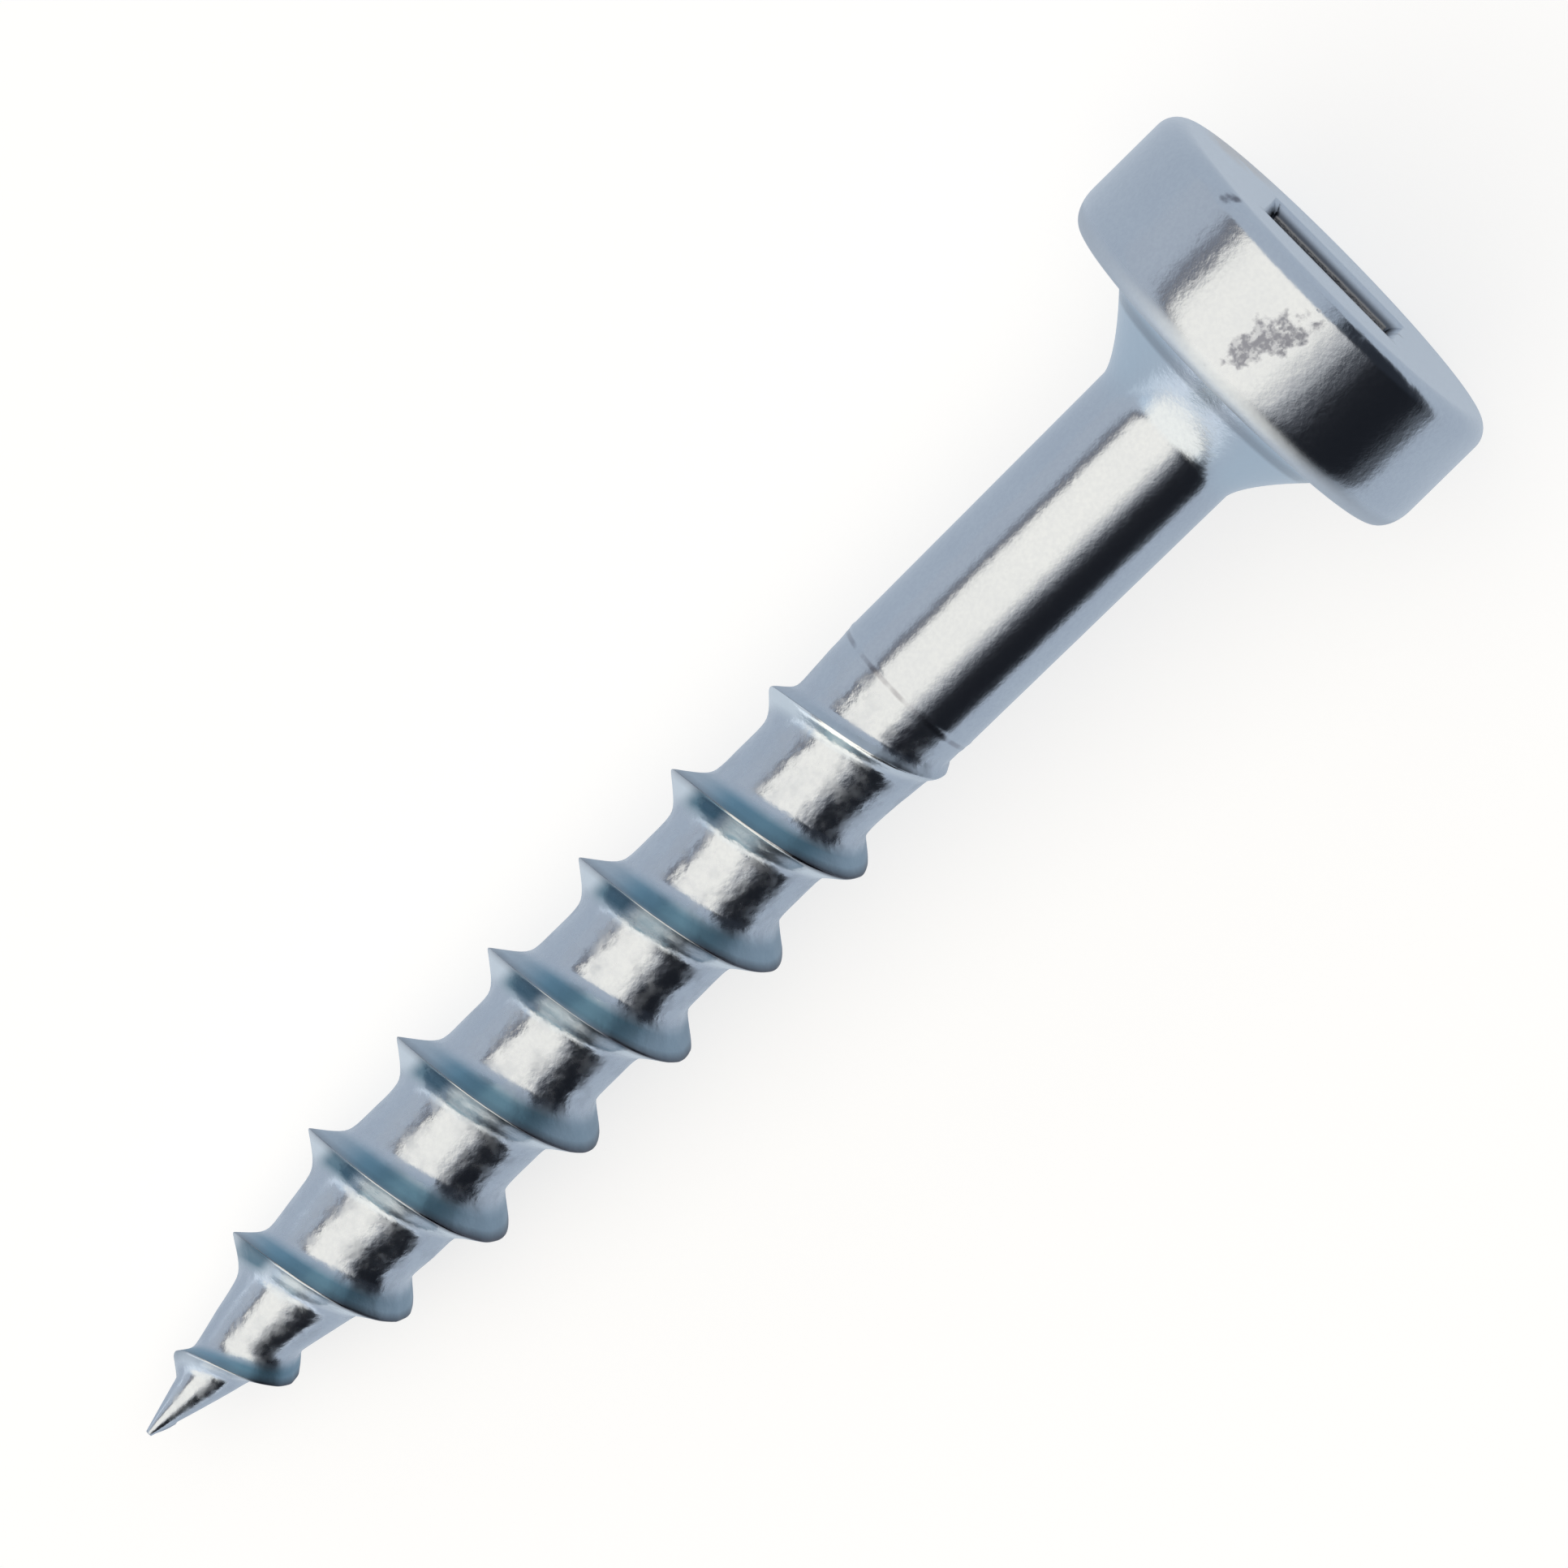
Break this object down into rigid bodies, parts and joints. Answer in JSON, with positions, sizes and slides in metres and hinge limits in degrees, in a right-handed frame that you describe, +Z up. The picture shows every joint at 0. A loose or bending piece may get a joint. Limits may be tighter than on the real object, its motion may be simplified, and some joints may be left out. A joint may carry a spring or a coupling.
{
  "type": "pocket hole screw",
  "caption": "Wood screw with a thick flat-bottomed round head, square drive recess, plain shank, coarse right-hand thread and gimlet point.",
  "frame": {"origin": "centre of the bounding box's bottom face, on the surface that the screw lies on", "axes": "+Z up from that surface, +X along the screw towards its head, which lies about 5.4 degrees higher than the point"},
  "size_m": [0.032, 0.0086, 0.0086],
  "materials": {
    "bright_zinc": "bright zinc plating over steel, smooth, cool bluish tint"
  },
  "bodies": {
    "root": {"pocket_screw": "bright_zinc"}
  },
  "joints": []
}
